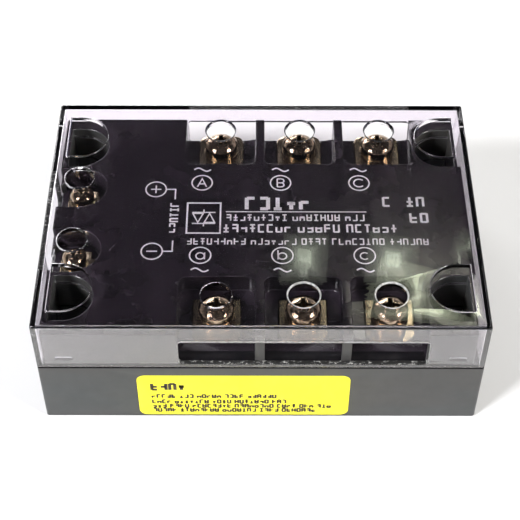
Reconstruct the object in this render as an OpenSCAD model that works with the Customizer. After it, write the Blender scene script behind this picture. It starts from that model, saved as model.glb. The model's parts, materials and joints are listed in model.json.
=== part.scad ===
// Three-phase solid state relay for a panel or a heat sink.
// Millimetres. The origin is the centre of the underside, +X runs to the
// right along the terminal rows, +Y towards the line terminals, +Z up.

/* [Overall] */
// Width of the body along the terminal rows
body_w = 105; // [104:0.5:107]
// Depth of the body across the terminal rows
body_d = 74; // [73.5:0.5:76]
// Height from the mounting face to the top of the cover
total_h = 35.5; // [35.5:0.1:36.5]
// Rounding of the upright corners
corner_r = 0.6; // [0.2:0.1:1]

/* [Cover] */
// Thickness of the cover's four walls
cover_wall = 1.2; // [1:0.1:1.3]
// Thickness of the cover's top
cover_top = 1.3; // [1:0.1:1.5]
// Diameter of the holes over the power screws
power_access_d = 7.3; // [7:0.1:8]
// Diameter of the holes over the control screws
control_access_d = 7.2; // [6.5:0.1:7.5]
// Height of the top edge of the cable windows
window_top_z = 29.7; // [29:0.1:30]
// Height of the bottom edge of the cable windows
window_bottom_z = 21.7; // [21.4:0.1:22]

/* [Housing] */
// Height of the ledge that the cover stands over
ledge_z = 20; // [19.5:0.1:20.2]
// Height of the lip that locates the cover inside
lip_z = 20.5; // [20.4:0.1:21]
// Inset of the upper body's front and back faces
inset_y = 1.8; // [1.7:0.1:2]
// Inset of the upper body's end faces
inset_x = 1.55; // [1.5:0.05:1.8]
// Wall thickness of the lower body
housing_wall = 2.2; // [2:0.1:2.5]
// Thickness of the housing's top
roof_t = 2; // [1.5:0.1:2.5]

/* [Power terminals] */
// Distance between neighbouring power terminals
power_pitch = 20.3; // [20.2:0.1:20.4]
// X position of the middle terminal of each row
row_x = 9.9; // [9.6:0.1:10]
// Distance of each row from the centre line
row_y = 27.3; // [27:0.1:27.5]
// Width of a power pocket
pocket_w = 18; // [17:0.1:18]
// Distance from the centre line to a pocket's inner wall
pocket_in_y = 18.8; // [18.6:0.1:19]
// Distance from the centre line to a pocket floor's outer edge
pocket_out_y = 32.3; // [32:0.1:32.4]
// Height of a pocket's floor
pocket_z = 26.4; // [26.2:0.1:26.5]
// Width of a power terminal strap
strap_w = 11.3; // [10.5:0.1:12]
// Thickness of a power terminal strap
strap_t = 1; // [0.8:0.1:1]

/* [Control terminals] */
// Distance of the control screws from the centre, along X
control_x = 45.2; // [45:0.1:45.4]
// Distance of the control screws from the centre line
control_y = 10.3; // [10.2:0.1:10.4]
// Radius of a control pocket
control_pocket_r = 6.5; // [6:0.1:6.6]
// Height of a control pocket's floor
control_pocket_z = 25.2; // [25:0.1:25.4]

/* [Screws] */
// Thread diameter of the power screws
power_thread_d = 5; // [4.8:0.1:5]
// Head diameter of the power screws
power_head_d = 8.4; // [8:0.1:8.6]
// Head height of the power screws
power_head_h = 3.6; // [3:0.1:3.6]
// Thread diameter of the control screws
control_thread_d = 3.5; // [3:0.1:3.5]
// Head diameter of the control screws
control_head_d = 6; // [5.8:0.1:6.4]
// Head height of the control screws
control_head_h = 2.8; // [2.4:0.1:2.8]

/* [Mounting] */
// Distance between mounting holes along X
mount_pitch_x = 89; // [88.5:0.5:90]
// Distance between mounting holes along Y
mount_pitch_y = 50; // [49.5:0.5:50.5]
// Diameter of the mounting holes
mount_hole_d = 5; // [4.5:0.1:5.5]
// Thickness of the base plate
plate_t = 3; // [2.5:0.1:3]

/* [Hidden] */
$fn = 64;
SIDES = [["line", 1], ["load", -1]];

// Clearances
gap = 0.1;          // between fixed parts that nest
body_gap = 0.35;    // between parts that move apart
thread_gap = 0.07;  // radial play of a screw in its nut
settle = 0.02;      // between pieces that lie on each other
cut = 1;            // how far a cutter runs past the face it opens

// Housing heights and half sizes
skirt_z = 0.3;
top_z = total_h - 4.2;
half_w = body_w / 2;
half_d = body_d / 2;
upper_x = half_w - inset_x;
upper_y = half_d - inset_y;
shoulder_y = 18;        // beyond this the upper body's right end steps in
shoulder_inset = 0.85;  // by this much
lip_y = half_d - cover_wall - 0.3;
lip_x = half_w - cover_wall - 0.2;
cavity_x = half_w - housing_wall;
cavity_y = half_d - housing_wall;
seat_z = plate_t + 0.2;
seat_w = 1;
cavity_top_z = 18.2;
core_y = pocket_in_y - 2.5;
core_x0 = -36.5;
core_x1 = half_w - 3.5;
core_top_z = top_z - roof_t;

// Corner blocks and the D-shaped mounting wells through them
block_x = 38.7;
block_y = 17.2;
well_r = 7;
well_x = 46.3;
well_y = mount_pitch_y / 2;
well_flat = 2.9;
well_step_z = 28.8;
well_step = 0.4;

// Cover
cover_z = ledge_z + body_gap;
cover_under_z = total_h - cover_top;
window_w = 2 * power_pitch + pocket_w - 0.4;
side_window_w = 28;
side_window_top_z = cover_under_z - 1;
window_r = 1;
lug_x = 46;
lug_w = 4;
lug_h = 1;
lug_z = 22.4;

// Power terminal stack, upwards from the strap
strap_z = pocket_z + 0.4;
flat_washer_t = 0.8;
power_spring_t = 1;
power_head_z = strap_z + flat_washer_t + power_spring_t;
strap_end_y = 33.4;
strap_corner_r = 2.2;
leg_w = 8;
leg_foot = 4;
nut_af = 8;
nut_h = 4;
strap_in_y = row_y - nut_af / 2 - strap_t - 2 * gap;
power_screw_end_z = 19.4;
pocket_corner_r = 2;
leg_cut_w = leg_w + 0.4;

// Control terminal stack
control_strap_t = 0.8;
control_strap_w = 7.5;
control_strap_z = control_pocket_z + control_strap_t;
control_washer_t = 0.6;
control_spring_t = 0.9;
control_head_z = control_strap_z + control_washer_t + control_spring_t;
control_screw_end_z = 19.2;
control_nut_af = 6;
control_nut_h = 2.8;
control_leg_x = -39.6;
control_leg_w = 3;
control_lip_t = 1.1;
control_lip_z = 28.5;

// Electronics
substrate_w = 16.6;
substrate_d = 42;
ceramic_t = 0.6;
track_t = 0.3;
track_z = plate_t + ceramic_t;
chip_z = track_z + track_t;
chip_s = 9;
chip_t = 0.4;
chip_y = 6;
track_gap = 1.2;
clip_t = 0.8;
board_z = 12;
board_t = 1.6;
board_x0 = -42;
board_x1 = 41;
board_y = 16;
board_top_z = board_z + board_t;
pin_s = 0.8;
potting_top_z = 8;
leg_foot_z = chip_z;

// Label
label_x = [-29.5, 21.3];
label_z = [1, 17];
label_r = 2;
label_t = 0.15;

function row_at(i) = row_x + (i - 2) * power_pitch;
function control_sign(i) = i == 1 ? 1 : -1;

// ---------- shared shapes ----------

// Box from one corner to the opposite one
module span(low, high) {
    translate(low) cube(high - low);
}

// Rectangle round the origin with arc corners
module round_rect(w, d, r) {
    square([w - 2 * r, d], center = true);
    square([w, d - 2 * r], center = true);
    for (x = [-1, 1], y = [-1, 1])
        translate([x * (w / 2 - r), y * (d / 2 - r)]) circle(r);
}

// Body outline between two heights
module slab(w, d, z0, z1) {
    translate([0, 0, z0]) linear_extrude(z1 - z0) round_rect(w, d, corner_r);
}

// D outline: half circle towards the middle of the body, flat side outwards
module well_outline(r, flat) {
    intersection() {
        union() {
            circle(r);
            translate([0, -r]) square([flat, 2 * r]);
        }
        translate([-r - cut, -r - cut]) square([r + cut + flat, 2 * (r + cut)]);
    }
}

// The four mounting wells between two heights
module wells(r, flat, z0, z1) {
    for (x = [0, 1], y = [-1, 1])
        mirror([x, 0, 0]) translate([well_x, y * well_y, z0])
            linear_extrude(z1 - z0) well_outline(r, flat);
}

// Corner i's share of the body, grown by play: 1 and 2 at the right, 1 and 4 at the back
module corner_region(i, play) {
    mirror([i > 2 ? 1 : 0, 0, 0]) mirror([0, i == 2 || i == 3 ? 1 : 0, 0])
        span([block_x - play, block_y - play, -cut], [half_w + cut, half_d + cut, top_z + cut]);
}

module corner_regions(play) {
    for (i = [1:4]) corner_region(i, play);
}

// Ring round a screw axis
module ring(inner_d, outer_d, t) {
    difference() {
        cylinder(d = outer_d, h = t);
        translate([0, 0, -cut]) cylinder(d = inner_d, h = t + 2 * cut);
    }
}

// Hexagonal prism, as large across its flats as given
module hexagon(across_flats, h) {
    cylinder(d = across_flats / cos(30), h = h, $fn = 6);
}

// Runs its children at each power terminal, with the row's outside towards +Y
module each_power() {
    for (side = SIDES, i = [1:3]) at_power(side[1], i) children();
}

module at_power(sign, i) {
    translate([row_at(i), 0, 0]) mirror([0, sign > 0 ? 0 : 1, 0]) children();
}

module at_control(i) {
    translate([-control_x, control_sign(i) * control_y, 0]) children();
}

// ---------- housing and cover ----------

// Open-fronted pocket over a power terminal
module power_pocket() {
    depth = half_d + cut - pocket_in_y;
    translate([0, pocket_in_y + depth / 2, pocket_z]) linear_extrude(top_z - pocket_z + cut) {
        round_rect(pocket_w, depth, pocket_corner_r);
        translate([-pocket_w / 2, 0]) square([pocket_w, depth / 2]);
    }
    span([-pocket_w / 2, pocket_out_y, lip_z], [pocket_w / 2, half_d + cut, top_z + cut]);
}

// Seats for the strap, its leg, the nut and the screw's end
module power_seat() {
    span([-strap_w / 2 - gap, strap_in_y - gap, strap_z - strap_t], [strap_w / 2 + gap, half_d, top_z]);
    span([-leg_cut_w / 2, strap_in_y - gap, cavity_top_z - cut],
         [leg_cut_w / 2, strap_in_y + strap_t + gap, strap_z]);
    translate([0, row_y, strap_z - strap_t - nut_h]) hexagon(nut_af + 2 * gap, nut_h + cut);
    translate([0, row_y, power_screw_end_z - 0.5])
        cylinder(d = power_thread_d + 0.8, h = strap_z - power_screw_end_z);
}

// Half circle that runs on to the left by reach
module control_pocket_outline(reach) {
    circle(control_pocket_r);
    translate([-reach, -control_pocket_r]) square([reach, 2 * control_pocket_r]);
}

// Pocket for a control terminal, open to the left end above a lip
module control_pocket() {
    translate([0, 0, control_pocket_z]) linear_extrude(top_z - control_pocket_z + cut)
        control_pocket_outline(upper_x - control_lip_t - control_x);
    translate([0, 0, control_lip_z]) linear_extrude(top_z - control_lip_z + cut)
        control_pocket_outline(half_w - control_x + cut);
    translate([0, 0, control_strap_z - control_strap_t - control_nut_h])
        hexagon(control_nut_af + 2 * gap, control_nut_h + cut);
    translate([0, 0, control_screw_end_z - 0.5])
        cylinder(d = control_thread_d + 0.6, h = control_pocket_z - control_screw_end_z);
    leg = control_x + control_leg_x;
    span([leg - gap, -control_leg_w / 2 - gap, cavity_top_z - cut],
         [leg + control_strap_t + gap, control_leg_w / 2 + gap, control_pocket_z + cut]);
}

// Lower body, ledge, locating lip and upper body, all solid
module housing_solid() {
    slab(body_w, body_d, skirt_z, ledge_z);
    slab(2 * lip_x, 2 * lip_y, ledge_z - cut, lip_z);
    translate([-shoulder_inset / 2, 0, 0]) slab(2 * upper_x - shoulder_inset, 2 * upper_y, ledge_z, top_z);
    span([0, -shoulder_y, ledge_z], [upper_x, shoulder_y, top_z]);
}

// The hollow that holds the electronics
module housing_cavity() {
    difference() {
        union() {
            span([-cavity_x + seat_w, -cavity_y + seat_w, 0], [cavity_x - seat_w, cavity_y - seat_w, cavity_top_z]);
            span([core_x0, -core_y, cavity_top_z - cut], [core_x1, core_y, core_top_z]);
        }
        corner_regions(0);
    }
    plate_seat();
}

// Recess for the base plate, up to its seat
module plate_seat() {
    span([-cavity_x, -cavity_y, -cut], [cavity_x, cavity_y, seat_z]);
}

module housing() {
    color([0.12, 0.12, 0.13]) difference() {
        housing_solid();
        corner_regions(0);
        housing_cavity();
        each_power() {
            power_pocket();
            power_seat();
        }
        for (i = [1:2]) at_control(i) control_pocket();
        label_block(label_t + cut, 0.1);
    }
}

// Corner of the moulding with a mounting well through it
module mounting_block(i) {
    color([0.12, 0.12, 0.13]) difference() {
        intersection() {
            housing_solid();
            corner_region(i, 0);
        }
        plate_seat();
        wells(well_r - well_step, well_flat, 0, top_z);
        wells(well_r, well_flat, well_step_z, top_z + cut);
    }
}

// Round-cornered window in a cover wall, up to the height high
module cover_window(w, high) {
    h = high - window_bottom_z;
    translate([0, 0, (high + window_bottom_z) / 2]) rotate([90, 0, 0])
        linear_extrude(4 * cover_wall, center = true) round_rect(w, h, window_r);
}

module cover_holes() {
    each_power() translate([0, row_y, cover_under_z - cut])
        cylinder(d = power_access_d, h = cover_top + 2 * cut);
    for (i = [1:2]) at_control(i) translate([0, 0, cover_under_z - cut])
        cylinder(d = control_access_d, h = cover_top + 2 * cut);
    wells(well_r, well_flat, cover_under_z - cut, total_h + cut);
    for (y = [-half_d, half_d]) translate([row_x, y, 0]) cover_window(window_w, window_top_z);
    translate([-half_w, 0, 0]) rotate([0, 0, 90]) cover_window(side_window_w, side_window_top_z);
}

// Low bars inside the front and back walls that grip the upper body
module cover_lugs() {
    for (x = [-1, 1], y = [0, 1]) mirror([0, y, 0])
        span([x * lug_x - lug_w / 2, half_d - cover_wall - 0.25, lug_z],
             [x * lug_x + lug_w / 2, half_d - cover_wall / 2, lug_z + lug_h]);
}

module clear_cover() {
    color([0.85, 0.88, 0.9, 0.35]) {
        difference() {
            slab(body_w, body_d, cover_z, total_h);
            span([-half_w + cover_wall, -half_d + cover_wall, 0],
                 [half_w - cover_wall, half_d - cover_wall, cover_under_z]);
            cover_holes();
        }
        cover_lugs();
    }
}

// Label-shaped block on the front face
module label_block(t, grow) {
    w = label_x[1] - label_x[0];
    h = label_z[1] - label_z[0];
    translate([(label_x[0] + label_x[1]) / 2, -half_d + label_t, (label_z[0] + label_z[1]) / 2])
        rotate([90, 0, 0]) linear_extrude(t) round_rect(w + 2 * grow, h + 2 * grow, label_r + grow);
}

module front_label() {
    color([0.99, 0.97, 0.24]) label_block(label_t, 0);
}

// ---------- base ----------

module base_plate() {
    color([0.75, 0.76, 0.78]) difference() {
        span([-cavity_x + gap, -cavity_y + gap, 0], [cavity_x - gap, cavity_y - gap, plate_t]);
        for (x = [-1, 1], y = [-1, 1])
            translate([x * mount_pitch_x / 2, y * mount_pitch_y / 2, -cut])
                cylinder(d = mount_hole_d, h = plate_t + 2 * cut);
    }
}

// Adhesive bead between the plate's rim and the housing's seat
module base_seal() {
    inner_x = cavity_x - seat_w;
    inner_y = cavity_y - seat_w;
    color([0.9, 0.9, 0.88]) difference() {
        span([-cavity_x + gap, -cavity_y + gap, plate_t], [cavity_x - gap, cavity_y - gap, seat_z]);
        span([-inner_x, -inner_y, 0], [inner_x, inner_y, seat_z + cut]);
    }
}

// ---------- terminals ----------

// Plan of a power strap, with rounded corners at its outer end
module strap_outline() {
    inner_w = strap_w - 2 * strap_corner_r;
    translate([-strap_w / 2, strap_in_y]) square([strap_w, strap_end_y - strap_corner_r - strap_in_y]);
    translate([-inner_w / 2, strap_in_y]) square([inner_w, strap_end_y - strap_in_y]);
    for (x = [-1, 1])
        translate([x * inner_w / 2, strap_end_y - strap_corner_r]) circle(strap_corner_r);
}

// Strap with a leg down into the body and a foot on the copper
module power_terminal(sign, i) {
    color([0.80, 0.66, 0.42]) at_power(sign, i) difference() {
        union() {
            translate([0, 0, strap_z - strap_t]) linear_extrude(strap_t) strap_outline();
            span([-leg_w / 2, strap_in_y, leg_foot_z], [leg_w / 2, strap_in_y + strap_t, strap_z]);
            span([-leg_w / 2, strap_in_y - leg_foot, leg_foot_z],
                 [leg_w / 2, strap_in_y + strap_t, leg_foot_z + strap_t]);
        }
        translate([0, row_y, strap_z - strap_t - cut])
            cylinder(d = power_thread_d + 2 * thread_gap, h = strap_t + 2 * cut);
    }
}

module control_terminal(i) {
    leg = control_x + control_leg_x;
    reach = control_strap_w / 2;
    color([0.80, 0.66, 0.42]) at_control(i) difference() {
        union() {
            span([-reach, -reach, control_strap_z - control_strap_t], [reach, reach, control_strap_z]);
            span([0, -control_leg_w / 2, control_strap_z - control_strap_t],
                 [leg + control_strap_t, control_leg_w / 2, control_strap_z]);
            span([leg, -control_leg_w / 2, board_top_z], [leg + control_strap_t, control_leg_w / 2, control_strap_z]);
        }
        translate([0, 0, control_strap_z - control_strap_t - cut])
            cylinder(d = control_thread_d + 2 * thread_gap, h = control_strap_t + 2 * cut);
    }
}

module hex_nut(across_flats, h, bore_d) {
    difference() {
        hexagon(across_flats, h);
        translate([0, 0, -cut]) cylinder(d = bore_d, h = h + 2 * cut);
    }
}

module power_nuts() {
    color([0.7, 0.7, 0.68]) each_power() translate([0, row_y, strap_z - strap_t - nut_h])
        hex_nut(nut_af, nut_h, power_thread_d + 2 * thread_gap);
}

module control_nuts() {
    color([0.7, 0.7, 0.68]) for (i = [1:2]) at_control(i)
        translate([0, 0, control_strap_z - control_strap_t - control_nut_h])
            hex_nut(control_nut_af, control_nut_h, control_thread_d + 2 * thread_gap);
}

// Flat washer with a split spring washer on it
module washer_pair(bore_d, flat_d, flat_t, spring_d, spring_t, split) {
    ring(bore_d, flat_d, flat_t - settle);
    translate([0, 0, flat_t]) difference() {
        ring(bore_d, spring_d, spring_t - settle);
        rotate([0, 0, 35]) span([0, -split / 2, -cut], [spring_d, split / 2, spring_t + cut]);
    }
}

module power_washers(sign, i) {
    color([0.8, 0.78, 0.72]) at_power(sign, i) translate([0, row_y, strap_z])
        washer_pair(power_thread_d + 0.3, power_head_d + 0.4, flat_washer_t, power_head_d - 0.3,
                    power_spring_t, 0.8);
}

module control_washers(i) {
    color([0.8, 0.78, 0.72]) at_control(i) translate([0, 0, control_strap_z])
        washer_pair(control_thread_d + 0.3, control_head_d + 0.6, control_washer_t, control_head_d - 0.2,
                    control_spring_t, 0.6);
}

// Pan head with a domed top and a combined slot and cross recess
module pan_head(d, h) {
    rim_h = 0.45 * h;
    dome_h = h - rim_h;
    dome_r = (d * d / 4 + dome_h * dome_h) / (2 * dome_h);
    difference() {
        intersection() {
            cylinder(d = d, h = h);
            translate([0, 0, h - dome_r]) sphere(dome_r);
        }
        translate([0, 0, h]) {
            cube([d + cut, 0.13 * d, 0.8 * dome_h], center = true);
            for (turn = [0, 90]) rotate([0, 0, turn]) cube([0.52 * d, 0.13 * d, 2 * 0.55 * h], center = true);
            translate([0, 0, -0.6 * h]) cylinder(d1 = 0.1 * d, d2 = 0.3 * d, h = 0.6 * h);
        }
    }
}

// Screw standing on its head's seat, with a chamfered end
module screw(thread_d, head_d, head_h, shank) {
    end_chamfer = 0.5;
    pan_head(head_d, head_h);
    translate([0, 0, -shank + end_chamfer]) cylinder(d = thread_d, h = shank - end_chamfer + 0.2);
    translate([0, 0, -shank]) cylinder(d1 = thread_d - 2 * end_chamfer, d2 = thread_d, h = end_chamfer);
}

module power_screw(sign, i) {
    color([0.82, 0.80, 0.74]) at_power(sign, i) translate([0, row_y, power_head_z])
        screw(power_thread_d, power_head_d, power_head_h, power_head_z - power_screw_end_z);
}

module control_screw(i) {
    color([0.82, 0.80, 0.74]) at_control(i) translate([0, 0, control_head_z])
        screw(control_thread_d, control_head_d, control_head_h, control_head_z - control_screw_end_z);
}

// ---------- electronics ----------

module substrate(i) {
    color([0.93, 0.93, 0.9]) translate([row_at(i), 0, 0])
        span([-substrate_w / 2, -substrate_d / 2, plate_t], [substrate_w / 2, substrate_d / 2, track_z]);
}

// Two copper pads, one for each chip and its terminal
module copper_tracks(i) {
    edge = 0.8;
    color([0.85, 0.5, 0.3]) translate([row_at(i), 0, 0]) for (y = [0, 1]) mirror([0, y, 0])
        span([-substrate_w / 2 + edge, track_gap / 2, track_z],
             [substrate_w / 2 - edge, substrate_d / 2 - edge, chip_z]);
}

module thyristors(i) {
    color([0.45, 0.47, 0.5]) translate([row_at(i), 0, 0]) for (y = [-1, 1])
        translate([-y * 3.5, y * chip_y, chip_z + chip_t / 2]) cube([chip_s, chip_s, chip_t], center = true);
}

// Clip from the top of a chip to the other chip's pad
module jumper() {
    clip_w = 3;
    top = chip_z + chip_t;
    span([-clip_w / 2, -3, top], [clip_w / 2, 3, top + clip_t]);
    span([-clip_w / 2, -clip_t, top], [clip_w / 2, 0, top + 2]);
    span([-clip_w / 2, -12.4, top + 2 - clip_t], [clip_w / 2, 0, top + 2]);
    span([-clip_w / 2, -12.4, chip_z], [clip_w / 2, -12.4 + clip_t, top + 2]);
}

module jumpers(i) {
    color([0.85, 0.5, 0.3]) translate([row_at(i), 0, 0]) for (y = [0, 1]) rotate([0, 0, 180 * y])
        translate([-6, chip_y, 0]) jumper();
}

module circuit_board() {
    color([0.1, 0.4, 0.2]) difference() {
        span([board_x0, -board_y, board_z], [board_x1, board_y, board_top_z]);
        for (x = [board_x0, board_x1], y = [-board_y, board_y])
            translate([x, y, board_z - cut]) cylinder(r = 3, h = board_t + 2 * cut);
    }
}

// Two gate pins for each phase, from the copper to the board
module gate_pins() {
    color([0.8, 0.75, 0.5]) for (i = [1:3], y = [-1, 1])
        translate([row_at(i) + y * 7, y * 13.5, 0])
            span([-pin_s / 2, -pin_s / 2, chip_z], [pin_s / 2, pin_s / 2, board_z]);
}

// Six-pin package: body with three bent leads each side
module optocoupler(i) {
    lead_pitch = 2.54;
    color([0.9, 0.9, 0.86]) translate([row_at(i) - 5.5, 0, board_top_z]) {
        span([-3.2, -4.3, 0.5], [3.2, 4.3, 3.9]);
        for (x = [0, 1], k = [-1:1]) mirror([x, 0, 0]) {
            span([3, k * lead_pitch - 0.6, 1.9], [4.1, k * lead_pitch + 0.6, 2.2]);
            span([3.8, k * lead_pitch - 0.3, 0], [4.1, k * lead_pitch + 0.3, 2.2]);
        }
    }
}

module snubber_capacitor(i) {
    color([0.85, 0.55, 0.15]) translate([row_at(i) + 5.5, 4.5, board_top_z])
        linear_extrude(11) round_rect(6, 13, 1);
}

// Power resistors, each lying on two wire ends
module snubber_resistors() {
    color([0.35, 0.5, 0.6]) for (i = [1:3]) translate([row_at(i) + 5.5, -8.5, board_top_z]) {
        translate([-4, 0, 2.6]) rotate([0, 90, 0]) cylinder(d = 4, h = 8);
        for (x = [-1, 1]) translate([x * 3.4, 0, 0]) cylinder(d = 0.8, h = 1.6);
    }
}

module input_diode() {
    color([0.15, 0.15, 0.16]) translate([-29, 9, board_top_z]) {
        translate([-2.6, 0, 1.6]) rotate([0, 90, 0]) cylinder(d = 2.7, h = 5.2);
        for (x = [-1, 1]) translate([x * 2.1, 0, 0]) cylinder(d = 0.8, h = 0.9);
    }
}

// Three-lead transistor with a flat face
module input_regulator() {
    color([0.15, 0.15, 0.16]) translate([-29, -8, board_top_z]) {
        translate([0, 0, 2.5]) linear_extrude(4.8) intersection() {
            circle(2.4);
            translate([-3, -1.3]) square([6, 6]);
        }
        for (x = [-1.27, 0, 1.27]) translate([x - 0.25, -0.25, 0]) cube([0.5, 0.5, 2.7]);
    }
}

// Resin over the substrates, with room left round what stands in it
module potting() {
    play = 0.2;
    rim_x = cavity_x - seat_w - gap;
    rim_y = cavity_y - seat_w - gap;
    color([0.25, 0.24, 0.26]) difference() {
        span([-rim_x, -rim_y, seat_z], [rim_x, rim_y, potting_top_z]);
        corner_regions(gap);
        for (i = [1:3]) translate([row_at(i), 0, 0]) {
            span([-substrate_w / 2 - play, -substrate_d / 2 - play, 0],
                 [substrate_w / 2 + play, substrate_d / 2 + play, chip_z + chip_t + 2.1]);
            for (y = [0, 1]) mirror([0, y, 0])
                span([-leg_w / 2 - play, substrate_d / 2, 0],
                     [leg_w / 2 + play, strap_in_y + strap_t + play, potting_top_z + cut]);
            for (y = [-1, 1]) translate([y * 7, y * 13.5, 0])
                cylinder(r = pin_s, h = potting_top_z + cut);
        }
    }
}

base_plate();
base_seal();
housing();
clear_cover();
front_label();
potting();
circuit_board();
gate_pins();
input_diode();
input_regulator();
snubber_resistors();
power_nuts();
control_nuts();
for (i = [1:4]) mounting_block(i);
for (side = SIDES, i = [1:3]) {
    power_terminal(side[1], i);
    power_washers(side[1], i);
    power_screw(side[1], i);
}
for (i = [1:2]) {
    control_terminal(i);
    control_washers(i);
    control_screw(i);
}
for (i = [1:3]) {
    substrate(i);
    copper_tracks(i);
    thyristors(i);
    jumpers(i);
    optocoupler(i);
    snubber_capacitor(i);
}
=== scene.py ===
"""Looks of a panel-mount three-phase solid state relay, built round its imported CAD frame.

Metres, +Z up. The origin is the centre of the underside, +Y points at the line terminals.
"""

import json
import math
import random

import bmesh
import bpy
from mathutils import Euler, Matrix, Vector
from mathutils.geometry import delaunay_2d_cdt


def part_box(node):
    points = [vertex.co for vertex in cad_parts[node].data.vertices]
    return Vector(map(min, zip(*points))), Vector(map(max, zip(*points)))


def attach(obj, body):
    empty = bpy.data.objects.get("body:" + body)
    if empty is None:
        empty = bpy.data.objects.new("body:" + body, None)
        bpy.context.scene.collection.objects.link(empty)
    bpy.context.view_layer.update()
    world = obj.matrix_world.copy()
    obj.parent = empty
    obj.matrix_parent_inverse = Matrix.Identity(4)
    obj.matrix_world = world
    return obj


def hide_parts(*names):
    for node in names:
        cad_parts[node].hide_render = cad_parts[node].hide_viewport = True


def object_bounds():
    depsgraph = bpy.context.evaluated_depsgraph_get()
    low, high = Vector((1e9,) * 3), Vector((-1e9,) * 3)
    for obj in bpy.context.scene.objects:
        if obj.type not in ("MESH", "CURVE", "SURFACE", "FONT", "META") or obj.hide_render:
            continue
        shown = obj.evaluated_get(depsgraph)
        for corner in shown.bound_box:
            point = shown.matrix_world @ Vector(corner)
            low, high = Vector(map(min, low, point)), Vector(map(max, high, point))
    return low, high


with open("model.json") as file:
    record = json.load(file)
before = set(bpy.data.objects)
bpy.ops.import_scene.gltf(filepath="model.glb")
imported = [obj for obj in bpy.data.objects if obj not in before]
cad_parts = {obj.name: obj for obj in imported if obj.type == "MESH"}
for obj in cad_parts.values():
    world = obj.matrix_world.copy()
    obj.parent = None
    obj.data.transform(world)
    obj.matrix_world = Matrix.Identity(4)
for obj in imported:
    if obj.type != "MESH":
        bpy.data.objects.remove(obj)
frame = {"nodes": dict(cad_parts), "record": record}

MM = 0.001
CAD_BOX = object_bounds()
SCENE = bpy.context.scene
RANDOM = random.Random(7)

# Places read from the CAD frame
HOUSING_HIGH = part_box("housing")[1]
COVER_LOW, COVER_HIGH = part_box("clear_cover")
LABEL_FRONT_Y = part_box("front_label")[0][1]
TOP_Z = HOUSING_HIGH[2]

# Sizes in the CAD that no box gives
COVER_GAP = 0.35 * MM  # between the housing's ledge and the cover's bottom edge
COVER_TOP_T = 1.3 * MM
COVER_WALL = 1.25 * MM  # the cover's wall and a little more
LIP_H = 0.65 * MM  # the lip on the ledge and a little more
LEDGE_Z = COVER_LOW[2] - COVER_GAP
LIP_TOP_Z = LEDGE_Z + LIP_H
UNDER_TOP_Z = COVER_HIGH[2] - COVER_TOP_T
HOLE_REACH = 4.2 * MM  # faces closer than this to a power screw's axis are on the hole over it

MOULDING = ["housing", "mounting_block_1", "mounting_block_2", "mounting_block_3", "mounting_block_4"]
SCREWS = [f"{row}_screw_{i}" for row in ("line", "load") for i in (1, 2, 3)]
SCREWS += ["control_screw_1", "control_screw_2"]


def centre(node):
    """Middle of a CAD node's box."""
    low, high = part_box(node)
    return (Vector(low) + Vector(high)) / 2


WELL = Vector((46.3, 25)) * MM  # one mounting well; the other three mirror it
WELL_REACH = 7.6 * MM  # the well's radius and a little more
LINE_HOLES = [centre(f"line_screw_{i}").xy for i in (1, 2, 3)]
# Holes over load screws 2 and 3, whose rims get a painted highlight ring
GLINT_RING_HOLES = [centre(f"load_screw_{i}").xy for i in (2, 3)]


# ---------------------------------------------------------------- camera and light

CAMERA_PLACE = Vector((-0.46, -221.35, 272.59)) * MM
CAMERA_TURN = (40.792, -0.106, 0.063)
CAMERA_LENS = 91.99
CAMERA_SENSOR = 36


def make_camera():
    data = bpy.data.cameras.new("camera")
    data.lens = CAMERA_LENS
    data.sensor_width = CAMERA_SENSOR
    data.clip_start = 0.01
    camera = bpy.data.objects.new("camera", data)
    camera.location = CAMERA_PLACE
    camera.rotation_euler = Euler([math.radians(a) for a in CAMERA_TURN])
    SCENE.collection.objects.link(camera)
    SCENE.camera = camera


# Name, place, size in metres, watts and colour of each studio light
STUDIO_LIGHTS = (
    ("key_left", (-0.9, -0.7, 1.0), (0.36, 0.26), 33, (0.98, 0.98, 1.0)),
    ("key_right", (1.0, -0.5, 0.9), (0.32, 0.26), 24, (1.0, 0.98, 0.95)),
    ("fill_back", (-0.5, 1.2, 0.5), (1.2, 0.5), 16, (1, 1, 1)),
)
# The same for the panes mirrored on the front right of the cover
DAYLIGHT = (0.88, 0.96, 0.76)
PANES = (
    ("window_a", (0.054, 0.816, 0.996), (0.040, 0.040), 0.040, DAYLIGHT),
    ("window_b", (0.157, 0.813, 0.996), (0.042, 0.044), 0.050, DAYLIGHT),
    ("window_c", (0.247, 0.835, 0.996), (0.018, 0.028), 0.010, DAYLIGHT),
    ("haze", (0.197, 0.744, 0.996), (0.095, 0.060), 0.400, (0.90, 0.94, 0.70)),
)
LIGHTS_AIM = Vector((0, 0, 0.02))
PANE_STEPS = (0.4, 0.6, 0.8, 1.0, 1.2, 1.4)


def softbox(name, place, size, watts, colour):
    """Rectangular area light, aimed at the relay and out of the camera's sight."""
    data = bpy.data.lights.new(name, "AREA")
    data.shape = "RECTANGLE"
    data.size, data.size_y = size
    data.energy = watts
    data.color = colour
    lamp = bpy.data.objects.new(name, data)
    lamp.location = place
    lamp.rotation_euler = (LIGHTS_AIM - Vector(place)).to_track_quat("-Z", "Y").to_euler()
    lamp.visible_camera = False
    SCENE.collection.objects.link(lamp)


def soft_pane(name, place, size, watts, colour):
    """Nested lights whose mirror image fades towards its edges, as a distant window's does."""
    for k, scale in enumerate(PANE_STEPS):
        softbox(f"{name}_{k}", place, (size[0] * scale, size[1] * scale), watts / len(PANE_STEPS), colour)


def make_lights():
    for light in STUDIO_LIGHTS:
        softbox(*light)
    for pane in PANES:
        soft_pane(*pane)


# Height on the sky, 0 at the horizon and 1 overhead, and the sky's colour there
SKY = ((0.08, (0.95, 0.95, 0.95, 1)), (0.42, (0.035, 0.035, 0.04, 1)))


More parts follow.
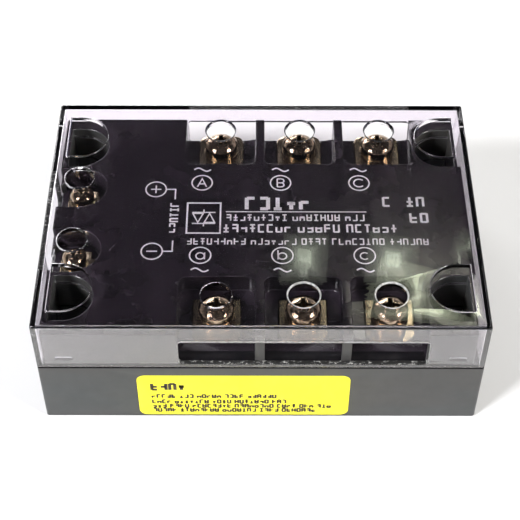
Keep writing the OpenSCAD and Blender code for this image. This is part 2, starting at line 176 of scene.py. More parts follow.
def make_world():
    """Pale near the horizon, dark overhead, so that flat tops read black."""
    world = bpy.data.worlds.new("studio")
    world.use_nodes = True
    tree = world.node_tree
    coords = tree.nodes.new("ShaderNodeTexCoord")
    split = tree.nodes.new("ShaderNodeSeparateXYZ")
    fade = tree.nodes.new("ShaderNodeValToRGB")
    for element, (height, colour) in zip(fade.color_ramp.elements, SKY):
        element.position = height
        element.color = colour
    tree.links.new(coords.outputs["Generated"], split.inputs[0])
    tree.links.new(split.outputs["Z"], fade.inputs[0])
    tree.links.new(fade.outputs[0], tree.nodes["Background"].inputs["Color"])
    SCENE.world = world
    SCENE.view_settings.view_transform = "Standard"


# ---------------------------------------------------------------- material helpers

class Shader:
    """A material with a Principled shader and the few texture helpers used here."""

    def __init__(self, name, **sockets):
        self.mat = bpy.data.materials.new(name)
        self.mat.use_nodes = True
        self.tree = self.mat.node_tree
        self.bsdf = self.tree.nodes["Principled BSDF"]
        self.coords = self.tree.nodes.new("ShaderNodeTexCoord")
        for key, value in sockets.items():
            self.set(key, value)

    def set(self, key, value):
        socket = self.bsdf.inputs[key.replace("_", " ")]
        if isinstance(value, tuple) and len(value) == 3:
            value = (*value, 1.0)
        socket.default_value = value

    def link(self, output, key):
        self.tree.links.new(output, self.bsdf.inputs[key.replace("_", " ")])

    def noise(self, size_mm, detail=3.0, roughness=0.5, stretch=(1, 1, 1)):
        """Noise whose features are about size_mm across, stretched along the axes."""
        mapping = self.tree.nodes.new("ShaderNodeMapping")
        mapping.inputs["Scale"].default_value = [1 / s for s in stretch]
        texture = self.tree.nodes.new("ShaderNodeTexNoise")
        texture.inputs["Scale"].default_value = 1 / (size_mm * MM)
        texture.inputs["Detail"].default_value = detail
        texture.inputs["Roughness"].default_value = roughness
        self.tree.links.new(self.coords.outputs["Object"], mapping.inputs["Vector"])
        self.tree.links.new(mapping.outputs[0], texture.inputs["Vector"])
        return texture.outputs["Fac"]

    def upward(self, low, high):
        """0 below the height low and 1 above the height high."""
        split = self.tree.nodes.new("ShaderNodeSeparateXYZ")
        fit = self.tree.nodes.new("ShaderNodeMapRange")
        fit.inputs["From Min"].default_value = low
        fit.inputs["From Max"].default_value = high
        self.tree.links.new(self.coords.outputs["Object"], split.inputs[0])
        self.tree.links.new(split.outputs["Z"], fit.inputs["Value"])
        return fit.outputs["Result"]

    def ramp(self, value, stops):
        """Colours or greys by value: stops are (position, colour or grey)."""
        node = self.tree.nodes.new("ShaderNodeValToRGB")
        elements = node.color_ramp.elements
        while len(elements) < len(stops):
            elements.new(0.5)
        for element, (position, colour) in zip(elements, stops):
            element.position = position
            if not isinstance(colour, tuple):
                colour = (colour, colour, colour)
            element.color = (*colour, 1)
        self.tree.links.new(value, node.inputs[0])
        return node.outputs["Color"]

    def mix(self, factor, first, second):
        node = self.tree.nodes.new("ShaderNodeMix")
        node.data_type = "RGBA"
        self.tree.links.new(factor, node.inputs["Factor"])
        self.tree.links.new(first, node.inputs["A"])
        self.tree.links.new(second, node.inputs["B"])
        return node.outputs["Result"]

    def add(self, first, second):
        node = self.tree.nodes.new("ShaderNodeMix")
        node.data_type = "RGBA"
        node.blend_type = "ADD"
        node.inputs["Factor"].default_value = 1.0
        self.tree.links.new(first, node.inputs["A"])
        self.tree.links.new(second, node.inputs["B"])
        return node.outputs["Result"]

    def bump(self, *layers):
        """Stacks bump layers, each (height, strength, distance in mm)."""
        normal = None
        for value, strength, distance_mm in layers:
            node = self.tree.nodes.new("ShaderNodeBump")
            node.inputs["Strength"].default_value = strength
            node.inputs["Distance"].default_value = distance_mm * MM
            self.tree.links.new(value, node.inputs["Height"])
            if normal:
                self.tree.links.new(normal, node.inputs["Normal"])
            normal = node.outputs["Normal"]
        self.link(normal, "Normal")


# Heights of the band at the ledge, under the cover's gap, that gets painted shade
SEAM_LOW = LEDGE_Z - 0.05 * MM
SEAM_HIGH = LEDGE_Z + 0.62 * MM
SEAM_FADE = 0.1 * MM


def moulded_bump(look):
    """The moulding's fine grain and slow waves."""
    look.bump((look.noise(0.22, 2), 0.16, 0.02), (look.noise(18, 2), 0.22, 0.10))


def moulded_skin():
    """Outer walls, ledge and well walls of the housing: satin grey-black, with painted shade in a dull
    near-black band at the seam.
    """
    look = Shader("moulded_skin")
    above_ledge = look.upward(SEAM_LOW - SEAM_FADE, SEAM_LOW)
    above_seam = look.upward(SEAM_HIGH - SEAM_FADE, SEAM_HIGH)
    greys = [(0.3, (0.026, 0.031, 0.032)), (0.5, (0.031, 0.031, 0.030)), (0.7, (0.036, 0.033, 0.030))]
    side = look.ramp(look.noise(22, 4, 0.6, (3, 1, 1)), greys)
    # Painted shade: near black in the band at the ledge, where the cover's gap lies in shadow
    painted_seam_shade = look.ramp(look.noise(2, 3), [(0.3, (0.002, 0.002, 0.003)), (0.7, (0.005, 0.004, 0.005))])
    look.link(look.mix(above_ledge, side, look.mix(above_seam, painted_seam_shade, side)), "Base_Color")
    satin = look.ramp(look.noise(3, 5, 0.6), [(0.3, 0.36), (0.7, 0.46)])
    dull = look.ramp(look.noise(3, 3), [(0.3, 0.70), (0.7, 0.80)])
    look.link(look.mix(above_ledge, satin, look.mix(above_seam, dull, satin)), "Roughness")
    shine = look.ramp(look.noise(5, 2), [(0.3, 0.57), (0.7, 0.64)])
    faint = look.ramp(look.noise(5, 2), [(0.3, 0.08), (0.7, 0.12)])
    look.link(look.mix(above_ledge, shine, look.mix(above_seam, faint, shine)), "Specular_IOR_Level")
    moulded_bump(look)
    return look.mat


def moulded_gloss():
    """Top and pockets of the housing: glossy black with a little dust."""
    look = Shader("moulded_gloss", Specular_IOR_Level=0.6)
    top = look.ramp(look.noise(9, 4), [(0.3, (0.017, 0.0135, 0.0180)), (0.7, (0.0240, 0.0190, 0.0245))])
    dust = look.ramp(look.noise(0.38, 2, 0.4), [(0.72, 0.0), (0.80, 0.05)])
    look.link(look.add(top, dust), "Base_Color")
    look.link(look.ramp(look.noise(7, 4, 0.6), [(0.3, 0.12), (0.7, 0.20)]), "Roughness")
    moulded_bump(look)
    return look.mat


def clear_polycarbonate(name, tint, mirror=0.5, coat=0.0):
    """Faintly lilac clear plastic; tint and mirror set its reflections."""
    look = Shader(name, Base_Color=(0.90, 0.87, 0.915), Transmission_Weight=1.0, IOR=1.55,
                  Specular_Tint=tint, Specular_IOR_Level=mirror,
                  Coat_Weight=coat, Coat_IOR=1.7, Coat_Roughness=0.08)
    smears = look.noise(16, 4, 0.6, (1, 2, 1))
    look.link(look.ramp(smears, [(0.35, 0.0), (0.75, 0.03)]), "Roughness")
    look.bump((look.noise(22, 1), 0.12, 0.25), (look.noise(1.2, 2, 0.5, (1, 8, 1)), 0.03, 0.02))
    return look.mat


def shade_painted_rim():
    """Painted shade: near-black navy clear plastic on the cover's outer top rim and the rims of its back
    holes, where the clear edges look dark.
    """
    look = Shader("shade_painted_rim", Transmission_Weight=1.0, IOR=1.5)
    rim_shade_tone = look.noise(2.5, 4, 0.6, (2, 2, 1))
    painted_navy_shade = [(0.35, (0.0002, 0.0002, 0.0010)), (0.70, (0.004, 0.004, 0.008))]
    look.link(look.ramp(rim_shade_tone, painted_navy_shade), "Base_Color")
    look.link(look.ramp(rim_shade_tone, [(0.3, 0.05), (0.7, 0.16)]), "Roughness")
    look.bump((look.noise(1.5, 3), 0.15, 0.04))
    return look.mat


def cut_polycarbonate(name, stops, clearness):
    """The cover's sawn and moulded edges: frosted grains with painted glints, or painted shade with
    sparse painted glints.
    """
    look = Shader(name, Transmission_Weight=clearness, IOR=1.5)
    grain_and_glint_mask = look.noise(0.55, 3, 0.65, (1.6, 1, 1))
    look.link(look.ramp(grain_and_glint_mask, stops), "Base_Color")
    look.link(look.ramp(grain_and_glint_mask, [(0.3, 0.55), (0.7, 0.25)]), "Roughness")
    look.bump((look.noise(0.3, 2), 0.5, 0.08))
    return look.mat


def plated(name, colour, dark, rough=(0.12, 0.24), dents=0.1):
    """Nickel plate with faint tarnish and tool marks."""
    look = Shader(name, Metallic=1.0)
    look.link(look.ramp(look.noise(1.6, 4, 0.6), [(0.3, dark), (0.62, colour)]), "Base_Color")
    look.link(look.ramp(look.noise(0.7, 4, 0.6), [(0.3, rough[0]), (0.75, rough[1])]), "Roughness")
    look.bump((look.noise(0.5, 3), 0.10, 0.03), (look.noise(1.1, 2), dents, 0.14))
    return look.mat


def stamped_brass():
    look = Shader("stamped_brass", Metallic=1.0)
    grain = look.noise(0.35, 4, 0.6, (1, 12, 1))
    look.link(look.ramp(grain, [(0.3, (0.34, 0.27, 0.19)), (0.7, (0.50, 0.42, 0.30))]), "Base_Color")
    look.link(look.ramp(look.noise(2, 4, 0.6), [(0.3, 0.13), (0.7, 0.24)]), "Roughness")
    look.bump((grain, 0.10, 0.02))
    return look.mat


def label_film():
    look = Shader("label_film", Specular_IOR_Level=0.5)
    yellows = [(0.3, (0.82, 0.75, 0.008)), (0.7, (0.88, 0.82, 0.016))]
    look.link(look.ramp(look.noise(8, 3), yellows), "Base_Color")
    look.link(look.ramp(look.noise(5, 4), [(0.3, 0.28), (0.7, 0.40)]), "Roughness")
    look.bump((look.noise(7, 2), 0.10, 0.05), (look.noise(0.5, 2), 0.05, 0.01))
    return look.mat


def ink(name, colour, worn):
    look = Shader(name, Roughness=0.45)
    look.link(look.ramp(look.noise(0.6, 3, 0.6), [(0.25, worn), (0.5, colour)]), "Base_Color")
    look.bump((look.noise(0.3, 2), 0.1, 0.01))
    return look.mat


def plain_plastic(name, colour, second, rough=(0.35, 0.5), grain_mm=0.3):
    look = Shader(name)
    look.link(look.ramp(look.noise(4, 4), [(0.3, colour), (0.7, second)]), "Base_Color")
    look.link(look.ramp(look.noise(1.5, 4), [(0.3, rough[0]), (0.7, rough[1])]), "Roughness")
    look.bump((look.noise(grain_mm, 2), 0.12, 0.02))
    return look.mat


def brushed_plate(name, colour, second, rough, along=(30, 1, 1)):
    look = Shader(name, Metallic=1.0)
    lines = look.noise(0.3, 4, 0.6, along)
    look.link(look.ramp(lines, [(0.3, second), (0.7, colour)]), "Base_Color")
    look.link(look.ramp(look.noise(5, 4), [(0.3, rough[0]), (0.7, rough[1])]), "Roughness")
    look.bump((lines, 0.15, 0.02))
    return look.mat


MATERIALS = {
    "housing": moulded_skin(),
    "cover": clear_polycarbonate("clear_polycarbonate", (0.45, 0.47, 0.45)),
    "screw": plated("screw_nickel", (0.58, 0.46, 0.32), (0.15, 0.10, 0.06), (0.08, 0.18), 0.8),
    "washer": plated("washer_nickel", (0.66, 0.55, 0.38), (0.20, 0.14, 0.08), (0.12, 0.26), 0.3),
    "terminal": stamped_brass(),
    "label": label_film(),
    "plate": brushed_plate("base_plate_alloy", (0.80, 0.81, 0.83), (0.62, 0.63, 0.65), (0.25, 0.38)),
    "adhesive": plain_plastic("adhesive_bead", (0.80, 0.80, 0.77), (0.70, 0.70, 0.66)),
    "resin": plain_plastic("potting_resin", (0.02, 0.02, 0.024), (0.035, 0.034, 0.04), (0.12, 0.3), 2),
    "board": plain_plastic("solder_mask", (0.02, 0.13, 0.05), (0.03, 0.19, 0.08), (0.25, 0.4)),
    "pins": plated("pin_tin", (0.80, 0.78, 0.72), (0.60, 0.58, 0.52)),
    "package": plain_plastic("chip_package", (0.015, 0.015, 0.017), (0.03, 0.03, 0.032)),
    "nut": plated("nut_steel", (0.62, 0.61, 0.58), (0.42, 0.41, 0.38), (0.2, 0.4)),
    "substrate": plain_plastic("alumina", (0.82, 0.82, 0.78), (0.9, 0.9, 0.86), (0.5, 0.7)),
    "copper": brushed_plate("bonded_copper", (0.80, 0.42, 0.26), (0.62, 0.30, 0.18), (0.25, 0.45),
                            (1, 20, 1)),
    "silicon": plated("silicon_die", (0.35, 0.37, 0.42), (0.22, 0.23, 0.28), (0.1, 0.2)),
    "coupler": plain_plastic("coupler_body", (0.80, 0.80, 0.74), (0.88, 0.87, 0.82)),
    "capacitor": plain_plastic("capacitor_coat", (0.65, 0.25, 0.03), (0.75, 0.33, 0.05), (0.2, 0.35)),
    "resistor": plain_plastic("resistor_coat", (0.18, 0.30, 0.42), (0.24, 0.38, 0.50)),
}
WHITE_INK = ink("white_ink", (0.94, 0.94, 0.93), (0.74, 0.74, 0.74))
DARK_INK = ink("dark_ink", (0.018, 0.009, 0.007), (0.07, 0.04, 0.01))
GLOSS = moulded_gloss()
# Stops for the cover's edges: frost with painted glints, and painted shade with a few painted glints
FROST_AND_GLINT_STOPS = [(0.42, (0.30, 0.30, 0.29)), (0.62, (0.98, 0.98, 0.96))]
SHADE_AND_GLINT_STOPS = [(0.57, (0.010, 0.010, 0.010)), (0.70, (0.62, 0.62, 0.60))]
FROST_AND_GLINT_EDGE = cut_polycarbonate("frost_and_glint_edge", FROST_AND_GLINT_STOPS, 0.55)
SHADE_AND_GLINT_EDGE = cut_polycarbonate("shade_and_glint_edge", SHADE_AND_GLINT_STOPS, 0.2)
# Painted shade on the cover's top rim and on the rims of the holes over the line screws
SHADE_PAINTED_RIM = shade_painted_rim()
FRONT_WALL = clear_polycarbonate("clear_front_wall", (1.0, 0.97, 0.93), 0.85, 1.0)
# Painted shade in the recesses of the screw heads: dark brown plate where the slot lies in shadow
PAINTED_SLOT_SHADE = plated("screw_recess", (0.10, 0.07, 0.045), (0.02, 0.014, 0.010), (0.25, 0.4))


def dress_cad_nodes():
    """Puts the detailed materials on every CAD node."""
    for part in frame["record"]["subparts"]:
        mesh = frame["nodes"][part["node"]].data
        mesh.materials.clear()
        mesh.materials.append(MATERIALS[part["material_slot"]])


# ---------------------------------------------------------------- mesh helpers

SHARP_SHADING = math.radians(40)
SHARP_EDGE = math.radians(30)
FLAT = math.radians(0.5)
SAME_POINT = 0.001 * MM
BREADTH_TO_ROUND = 2.2  # least breadth of a face beside a rounded edge, in widths of the rounding
MOST_CORNERS = 6  # flat faces with more corners are refilled with triangles


def finish_piece(piece, body, material):
    piece.data.materials.clear()
    piece.data.materials.append(material)
    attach(piece, body)


def smooth_with_weights(piece):
    """Smooth shading that keeps flat faces flat beside rounded edges."""
    piece.data.shade_smooth()
    piece.data.set_sharp_from_angle(angle=SHARP_SHADING)
    weights = piece.modifiers.new("weights", "WEIGHTED_NORMAL")
    weights.keep_sharp = True
    bpy.context.view_layer.objects.active = piece
    bpy.ops.object.modifier_apply(modifier=weights.name)


def bevel_sharp(bm, width, segments, chosen):
    """Rounds the chosen sharp edges whose two faces are both broad enough."""
    sharp = []
    for edge in bm.edges:
        if len(edge.link_faces) != 2 or edge.calc_face_angle() < SHARP_EDGE:
            continue
        breadth = min(face.calc_area() for face in edge.link_faces) / edge.calc_length()
        if breadth > BREADTH_TO_ROUND * width and chosen(edge):
            sharp.append(edge)
    bmesh.ops.bevel(bm, geom=sharp, offset=width, segments=segments, profile=0.5, affect="EDGES",
                    clamp_overlap=False)


def refill(bm, face):
    """Replaces a many-sided flat face by triangles that keep to its outline."""
    across = face.normal.orthogonal().normalized()
    up = face.normal.cross(across)
    corners = list(face.verts)
    flat = [Vector((v.co.dot(across), v.co.dot(up))) / MM for v in corners]
    outline = [list(range(len(flat)))]
    points, _, triangles, sources, _, _ = delaunay_2d_cdt(flat, [], outline, 1, 1e-6)
    normal, level = face.normal.copy(), corners[0].co.dot(face.normal)
    bm.faces.remove(face)
    verts = []
    for point, found in zip(points, sources):
        if found:
            verts.append(corners[found[0]])
        else:
            verts.append(bm.verts.new((point.x * across + point.y * up) * MM + level * normal))
    for triangle in triangles:
        if len({sources[k][0] if sources[k] else -1 - k for k in triangle}) < 3:
            continue
        if bm.faces.get([verts[k] for k in triangle]):
            continue
        made = bm.faces.new([verts[k] for k in triangle])
        made.normal_update()
        if made.normal.dot(normal) < 0:
            made.normal_flip()


def round_edges(mesh, steps):
    """Merges flat triangles, then rounds edges in steps of (width, segments, rule for an edge)."""
    bm = bmesh.new()
    bm.from_mesh(mesh)
    bmesh.ops.remove_doubles(bm, verts=bm.verts, dist=SAME_POINT)
    bmesh.ops.dissolve_limit(bm, angle_limit=FLAT, verts=bm.verts, edges=bm.edges)
    for width, segments, chosen in steps:
        bevel_sharp(bm, width, segments, chosen)
    bm.normal_update()
    for face in [f for f in bm.faces if len(f.verts) > MOST_CORNERS]:
        refill(bm, face)
    bm.to_mesh(mesh)
    bm.free()


def any_edge(edge):
    return True


def finished(name, mesh, steps, body, slot, nodes):
    """A mesh with rounded edges that stands for one or more CAD nodes."""
    round_edges(mesh, steps)
    piece = bpy.data.objects.new(name, mesh)
    SCENE.collection.objects.link(piece)
    smooth_with_weights(piece)
    finish_piece(piece, body, MATERIALS[slot])
    for node in nodes:
        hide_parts(node)
    return piece


def detailed(node, body, slot, width):
    """One CAD node with all its edges rounded to width."""
    mesh = frame["nodes"][node].data.copy()
    return finished(f"{node}_finished", mesh, [(width, 2, any_edge)], body, slot, [node])


def joined_solid(name, nodes):
    """One mesh from CAD nodes that touch each other, without the faces between them."""
    solid = bpy.data.objects.new(name, frame["nodes"][nodes[0]].data.copy())
    SCENE.collection.objects.link(solid)
    helpers = []
    for node in nodes[1:]:
        helper = bpy.data.objects.new(f"{node}_helper", frame["nodes"][node].data.copy())
        SCENE.collection.objects.link(helper)
        helpers.append(helper)
        union = solid.modifiers.new(node, "BOOLEAN")
        union.operation = "UNION"
        union.solver = "EXACT"
        union.object = helper
        bpy.context.view_layer.objects.active = solid
        bpy.ops.object.modifier_apply(modifier=union.name)
    mesh = solid.data
    for item in [solid] + helpers:
        bpy.data.objects.remove(item)
    return mesh


# ---------------------------------------------------------------- printed marks

# Greeked lettering, in heights of its cells
CELL_WIDE = 0.62
CELL_GAP = 0.24
WORD_GAP = 0.45


class Print:
    """Collects thin printed strokes on one face of the relay."""

    def __init__(self, name, origin, across, up, thickness):
        self.name = name
        self.origin = Vector(origin)
        self.across = Vector(across)
        self.up = Vector(up)
        self.out = self.across.cross(self.up)
        self.thickness = thickness
        self.bm = bmesh.new()

    def place(self, point, level):
        return self.origin + point[0] * self.across + point[1] * self.up + level * self.out

    def stroke(self, points, width, closed=False):
        """A line of even width through points, as one thin closed strip."""
        points = [Vector(p) for p in points]
        count = len(points)
        rings = []
        for k, point in enumerate(points):
            before = points[k - 1] if closed or k > 0 else point
            after = points[(k + 1) % count] if closed or k < count - 1 else point
            side_a = (point - before if (point - before).length else after - point).normalized()
            side_b = (after - point).normalized() if (after - point).length else side_a
            middle = (side_a + side_b).normalized()
            normal = Vector((-middle.y, middle.x))
            reach = width / 2 / max(0.5, normal.dot(Vector((-side_a.y, side_a.x))))
            corners = [(point - normal * reach, 0.0), (point + normal * reach, 0.0),
                       (point + normal * reach, self.thickness), (point - normal * reach, self.thickness)]
            rings.append([self.bm.verts.new(self.place(p, level)) for p, level in corners])
        pairs = list(zip(rings, rings[1:] + rings[:1])) if closed else list(zip(rings, rings[1:]))
        for first, second in pairs:
            for k in range(4):
                self.bm.faces.new((first[k], first[(k + 1) % 4], second[(k + 1) % 4], second[k]))
        if not closed:
            self.bm.faces.new(rings[0][::-1])
            self.bm.faces.new(rings[-1])

    def arc(self, middle, radius, start, end, width, steps=24):
        """A stroke along a circle from one angle in degrees to another."""
        closed = abs(end - start) >= 360
        points = []
        for k in range(steps if closed else steps + 1):
            turn = math.radians(start + (end - start) * k / steps)
            points.append((middle[0] + radius * math.cos(turn), middle[1] + radius * math.sin(turn)))
        self.stroke(points, width, closed)

    def tick_cell(self, low_left, wide, tall, weight, down):
        """One cell of made-up ticks: uprights and bars that spell nothing."""
        def put(x0, y0, x1, y1):
            ends = [(x0 * wide, y0 * tall), (x1 * wide, y1 * tall)]
            if down:
                ends = [(y, -x) for x, y in ends]
            self.stroke([(low_left[0] + x, low_left[1] + y) for x, y in ends], weight)
        uprights = RANDOM.choice(((0.1,), (0.9,), (0.1, 0.9), (0.1, 0.9), (0.5,)))
        short = RANDOM.choice((0.0, 0.0, 0.35))
        for x in uprights:
            put(x, 0, x, 1 - short)
        for y in RANDOM.sample((0.04, 0.5, 0.96 - short), RANDOM.choice((1, 2))):
            put(0.1, y, 0.9, y)

    def greek(self, start, length, height, words, down=False, weight=0.2):
        """A row of tick cells that stands for a line of lettering; start is its lower left end."""
        wide, gone, left_in_word = CELL_WIDE * height, 0.0, RANDOM.randint(*words)
        while gone + wide < length:
            corner = (start[0], start[1] - gone) if down else (start[0] + gone, start[1])
            self.tick_cell(corner, wide, height, weight * height, down)
            gone += wide + CELL_GAP * height
            left_in_word -= 1
            if left_in_word == 0:
                gone += WORD_GAP * height
                left_in_word = RANDOM.randint(*words)

    def build(self, body, material):
        bmesh.ops.recalc_face_normals(self.bm, faces=self.bm.faces)
        mesh = bpy.data.meshes.new(self.name)
        self.bm.to_mesh(mesh)
        self.bm.free()
        piece = bpy.data.objects.new(self.name, mesh)
        SCENE.collection.objects.link(piece)
        finish_piece(piece, body, material)


LINE = 0.34 * MM
RING_R = 2.55 * MM
LETTER_HALF = 1.4 * MM
MARK_PITCH = 19.75 * MM
# First letter of each row: x, y, and the side of it that its tilde is on
MARK_ROWS = {"ABC": (-14.84 * MM, 11.98 * MM, 1), "abc": (-14.61 * MM, -12.2 * MM, -1)}
TILDE_STEP = 4.6 * MM
TILDE_HALF = 2.1 * MM
TILDE_RISE = 0.55 * MM


def letter(page, name, x, y, s):
    """Plain phase letters drawn from lines and arcs; s is half the letter's height."""
    if name == "A":
        page.stroke([(x - 0.8 * s, y - s), (x, y + s), (x + 0.8 * s, y - s)], LINE)
        page.stroke([(x - 0.45 * s, y - 0.3 * s), (x + 0.45 * s, y - 0.3 * s)], LINE)
    if name == "B":
        page.stroke([(x - 0.6 * s, y - s), (x - 0.6 * s, y + s)], LINE)
        for side in (-1, 1):
            page.arc((x + 0.1 * s, y + side * 0.5 * s), 0.5 * s, -90, 90, LINE, 12)
            page.stroke([(x - 0.6 * s, y + side * s), (x + 0.1 * s, y + side * s)], LINE)
        page.stroke([(x - 0.6 * s, y), (x + 0.1 * s, y)], LINE)
    if name == "C":
        page.arc((x, y), 0.95 * s, 45, 315, LINE)
    if name in "ab":
        page.arc((x, y - 0.15 * s), 0.72 * s, 0, 360, LINE)
        side = 1 if name == "a" else -1
        top = 0.6 * s if name == "a" else 1.15 * s
        page.stroke([(x + side * 0.75 * s, y - 0.9 * s), (x + side * 0.75 * s, y + top)], LINE)
    if name == "c":
        page.arc((x, y - 0.1 * s), 0.75 * s, 48, 312, LINE)


def tilde(page, x, y):
    """One period of a sine wave."""
    steps = 14
    points = []
    for k in range(steps + 1):
        wave = math.sin(2 * math.pi * k / steps)
        points.append((x + TILDE_HALF * (2 * k / steps - 1), y + TILDE_RISE * wave))
    page.stroke(points, LINE * 1.15)


def terminal_marks(page):
    """Circled phase letters and alternating-current signs beside the power terminals."""
    for names, (x, y, away) in MARK_ROWS.items():
        for name in names:
            page.arc((x, y), RING_R, 0, 360, LINE, 40)
            letter(page, name, x, y, LETTER_HALF)
            tilde(page, x, y + away * TILDE_STEP)
            x += MARK_PITCH


def control_marks(page):
    """Circled plus and minus joined by a bracket, at the control terminals."""
    x, half = -26.3 * MM, 1.3 * MM
    bracket_x = -21.4 * MM
    for sign in (1, -1):
        y = centre(f"control_screw_{1 if sign > 0 else 2}").y - 0.65 * MM
        page.arc((x, y), RING_R, 0, 360, LINE, 40)
        page.stroke([(x - half, y), (x + half, y)], LINE)
        if sign > 0:
            page.stroke([(x, y - half), (x, y + half)], LINE)
        page.stroke([(x + RING_R, y), (bracket_x, y), (bracket_x, y - sign * 3.4 * MM)], LINE)
    page.greek((bracket_x - 1.0 * MM, 5.0 * MM), 10.8 * MM, 2.0 * MM, (9, 9), down=True)


def triac_sign(page, x, y, s):
    """The circuit symbol of a triac: two triangles tip to tail between two bars."""
    for flip in (-1, 1):
        tip_x = x + flip * s * 0.95
        base = [(tip_x - s * 0.85, y - flip * s), (tip_x + s * 0.85, y - flip * s)]
        page.stroke(base + [(tip_x, y + flip * s)], LINE, closed=True)
    for level in (-s - LINE, s + LINE):
        page.stroke([(x - 1.9 * s, y + level), (x + 1.9 * s, y + level)], LINE)
        page.stroke([(x, y + level), (x, y + 1.5 * level)], LINE)


# Rows of greeked lettering on the top: lower left end, length and height of the row in millimetres, cells
# in a word, and line width in heights
PANEL_ROWS = (
    ((-3.8, 2.9), 17.8, 3.9, (5, 5), 0.25),
    ((-8.6, -0.9), 34.7, 2.0, (5, 9), 0.18),
    ((-9.3, -4.7), 43.2, 2.5, (5, 9), 0.19),
    ((-18.0, -8.7), 59.6, 1.9, (4, 10), 0.18),
    ((30.2, 4.0), 3.6, 3.0, (1, 1), 0.20),
    ((36.0, 4.0), 7.0, 3.0, (3, 3), 0.20),
    ((36.6, -1.4), 5.2, 3.0, (2, 2), 0.20),
)


def centre_panel(page):
    """A triac symbol in a frame, and greeked lines where the maker's data would be."""
    left, right, top, bottom = -18.2 * MM, -10.0 * MM, 4.97 * MM, -5.05 * MM
    page.stroke([(left, top), (right, top), (right, bottom), (left, bottom)], LINE * 1.2, closed=True)
    triac_sign(page, (left + right) / 2, (top + bottom) / 2, 1.5 * MM)
    page.stroke([(-8.7 * MM, 2.05 * MM), (26 * MM, 2.05 * MM)], LINE * 0.8)
    for (x, y), length, height, words, weight in PANEL_ROWS:
        page.greek((x * MM, y * MM), length * MM, height * MM, words, weight=weight)


def make_legend():
    page = Print("legend_print", (0, 0, TOP_Z + 0.01 * MM), (1, 0, 0), (0, 1, 0), 0.03 * MM)
    terminal_marks(page)
    control_marks(page)
    centre_panel(page)
    page.build("housing", WHITE_INK)


# Rows on the front label: height above the mounting face, length and lettering height in millimetres, and
# cells in a word
LABEL_LEFT_X = -26.2 * MM
LABEL_ROWS = ((11.3, 9.4, 2.5, (4, 4)), (8.0, 31.0, 1.4, (3, 7)), (5.8, 33.0, 1.4, (4, 7)),
              (3.96, 45.0, 1.4, (3, 8)), (2.2, 40.3, 1.4, (4, 8)))


def make_label_print():
    page = Print("label_print", (0, LABEL_FRONT_Y - 0.005 * MM, 0), (1, 0, 0), (0, 0, 1), 0.02 * MM)
    for z, length, height, words in LABEL_ROWS:
        page.greek((LABEL_LEFT_X, z * MM), length * MM, height * MM, words, weight=0.32)
    page.build("housing", DARK_INK)


# ---------------------------------------------------------------- the relay

CLOSE = 0.01 * MM
OUTERMOST = 0.5 * MM
SKIN_DEPTH = 3 * MM
SATIN_DEPTH = 2.6 * MM
ROUNDED_BELOW_TOP = 6.2 * MM
LEVEL = 0.97  # the least upward part of a level face's normal
STEEP = 0.7  # the most upward part of an upright face's normal


def depth(place, high):
    """How far a place is inside the outer walls of a body centred on the origin."""
    return min(high[0] - abs(place.x), high[1] - abs(place.y))


def on_visible_skin(edge):
    """Is the edge on the moulding's outside or in the top of its pockets, and not on the low lip?"""
    middle = (edge.verts[0].co + edge.verts[1].co) / 2
    inside = depth(middle, HOUSING_HIGH)
    if LEDGE_Z - CLOSE < middle.z < LIP_TOP_Z:
        return inside < OUTERMOST
    return inside < SKIN_DEPTH or middle.z > TOP_Z - ROUNDED_BELOW_TOP


def make_housing():
    """The black moulding in one piece, over its five CAD nodes."""
    steps = [(0.25 * MM, 2, on_visible_skin)]
    mesh = joined_solid("moulding", MOULDING)
    housing = finished("housing_finished", mesh, steps, "housing", "housing", MOULDING)
    housing.data.materials.append(GLOSS)
    gloss = 1
    for face in housing.data.polygons:
        place = face.center
        in_well = (Vector((abs(place.x), abs(place.y))) - WELL).length < WELL_REACH
        satin = in_well or depth(place, HOUSING_HIGH) < SATIN_DEPTH
        if place.z > LIP_TOP_Z and not (satin and abs(face.normal.z) < STEEP):
            face.material_index = gloss


def at_hole(place, holes):
    return any((place.xy - hole).length < HOLE_REACH for hole in holes)


def on_cover_rim(edge):
    """Is the edge on the cover's outer top rim?"""
    return all(v.co.z > COVER_HIGH[2] - CLOSE and depth(v.co, COVER_HIGH) < 0.7 * MM for v in edge.verts)


def on_power_hole(edge):
    """Is the edge on the upper rim of a hole over a line screw, which gets painted shade, or over load
    screw 2 or 3, which gets a painted highlight ring?
    """
    holes = LINE_HOLES + GLINT_RING_HOLES
    return all(v.co.z > COVER_HIGH[2] - CLOSE and at_hole(v.co, holes) for v in edge.verts)


def is_cut_face(place, normal):
    """Is a face of the cover on a window's rim, a lug or the front's bottom edge?"""
    if place.z < COVER_LOW[2] + 0.1 * MM:
        return place.y < COVER_LOW[1] + COVER_WALL
    in_front_or_back = abs(place.y) > COVER_HIGH[1] - COVER_WALL
    in_side = abs(place.x) > COVER_HIGH[0] - COVER_WALL
    if place.z >= UNDER_TOP_Z - 1 * MM or in_front_or_back == in_side:
        return False
    return abs(normal.x if in_side else normal.y) < 0.75


def is_shade_painted_rim(place, normal):
    """Is a face of the cover on its outer top rim, or on the rim of a hole over a line screw, where
    painted shade goes?
    """
    if place.z < COVER_HIGH[2] - 0.5 * MM or abs(normal.z) > LEVEL:
        return False
    return depth(place, COVER_HIGH) < OUTERMOST or at_hole(place, LINE_HOLES)


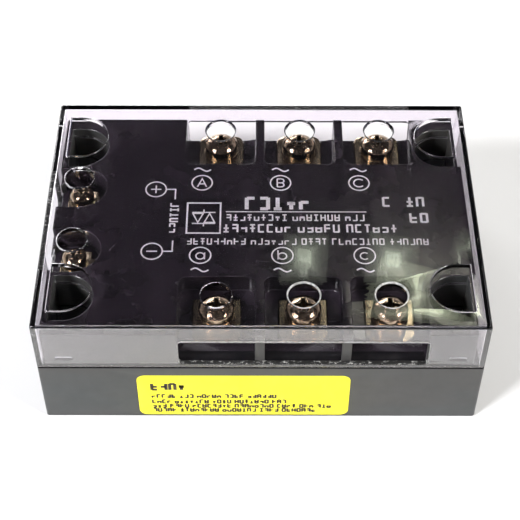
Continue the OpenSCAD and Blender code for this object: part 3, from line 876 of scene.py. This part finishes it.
def cover_look(place, normal):
    """Which of the cover's materials a face has."""
    in_front_wall = place.y < COVER_LOW[1] + COVER_WALL
    # Painted shade on the outer top rim and on the line-hole rims
    if is_shade_painted_rim(place, normal):
        return SHADE_PAINTED_RIM
    # Frost with painted glints on the front wall's window rims and lugs; painted shade with a few painted
    # glints on the other cut faces
    if is_cut_face(place, normal):
        return FROST_AND_GLINT_EDGE if in_front_wall and place.z > COVER_LOW[2] + 1.6 * MM else SHADE_AND_GLINT_EDGE
    # Painted highlight: a bright frosted ring round these holes
    near_top = place.z > COVER_HIGH[2] - 0.4 * MM and abs(normal.z) < LEVEL
    if near_top and at_hole(place, GLINT_RING_HOLES):
        return FROST_AND_GLINT_EDGE
    if in_front_wall and abs(normal.y) > 0.9:
        return FRONT_WALL
    return MATERIALS["cover"]


def make_cover():
    """The clear cover with a well rounded rim darkened by painted shade, and frosted cut edges with
    painted glints, some of them in painted shade.
    """
    mesh = frame["nodes"]["clear_cover"].data.copy()
    steps = [(0.5 * MM, 4, on_cover_rim), (0.36 * MM, 3, on_power_hole), (0.22 * MM, 2, any_edge)]
    cover = finished("cover_finished", mesh, steps, "cover", "cover", ["clear_cover"])
    looks = [MATERIALS["cover"], FROST_AND_GLINT_EDGE, SHADE_AND_GLINT_EDGE, SHADE_PAINTED_RIM, FRONT_WALL]
    for material in looks[1:]:
        cover.data.materials.append(material)
    for face in cover.data.polygons:
        face.material_index = looks.index(cover_look(face.center, face.normal))


# Heights of the screw heads, the domed share of a height, and where a head's recess lies
POWER_HEAD_H = 3.6 * MM
CONTROL_HEAD_H = 2.8 * MM
DOME_SHARE = 0.55
RECESS_SUNK = 0.12 * MM
RECESS_DEPTH = 1.3  # in heights of the dome
RECESS_REACH = 0.92  # in radii of the head


def paint_recess_shade(screw, head_height):
    """Puts painted shade, a dark brown plate, on the faces sunk into a screw's head."""
    screw.data.materials.append(PAINTED_SLOT_SHADE)
    painted_shade_index = 1
    top = max(v.co.z for v in screw.data.vertices)
    middle = sum((Vector(corner) for corner in screw.bound_box), Vector()) / 8
    radius = max(v.co.x for v in screw.data.vertices) - middle.x
    dome = DOME_SHARE * head_height
    for face in screw.data.polygons:
        out = (face.center.xy - middle.xy).length / radius
        sunk = top - dome * out * out - face.center.z
        if sunk > RECESS_SUNK and face.center.z > top - RECESS_DEPTH * dome and out < RECESS_REACH:
            face.material_index = painted_shade_index


def make_relay():
    make_housing()
    make_cover()
    for screw in SCREWS:
        head_height = CONTROL_HEAD_H if screw.startswith("control") else POWER_HEAD_H
        paint_recess_shade(detailed(screw, screw, "screw", 0.10 * MM), head_height)
        washers = screw.replace("screw", "washers")
        detailed(washers, washers, "washer", 0.12 * MM)
        terminal = screw.replace("screw", "terminal")
        detailed(terminal, "housing", "terminal", 0.15 * MM)


def make_floor():
    """A plain pale floor under the relay's mounting face."""
    level = (0, 0, CAD_BOX[0][2])
    bpy.ops.mesh.primitive_circle_add(vertices=96, radius=1.6, fill_type="NGON", location=level)
    floor = bpy.context.object
    floor.name = "floor"
    look = Shader("pale_floor", Roughness=0.6)
    look.link(look.ramp(look.noise(60, 2), [(0.3, 0.68), (0.7, 0.70)]), "Base_Color")
    floor.data.materials.append(look.mat)


make_camera()
make_lights()
make_world()
make_floor()
dress_cad_nodes()
make_relay()
make_legend()
make_label_print()
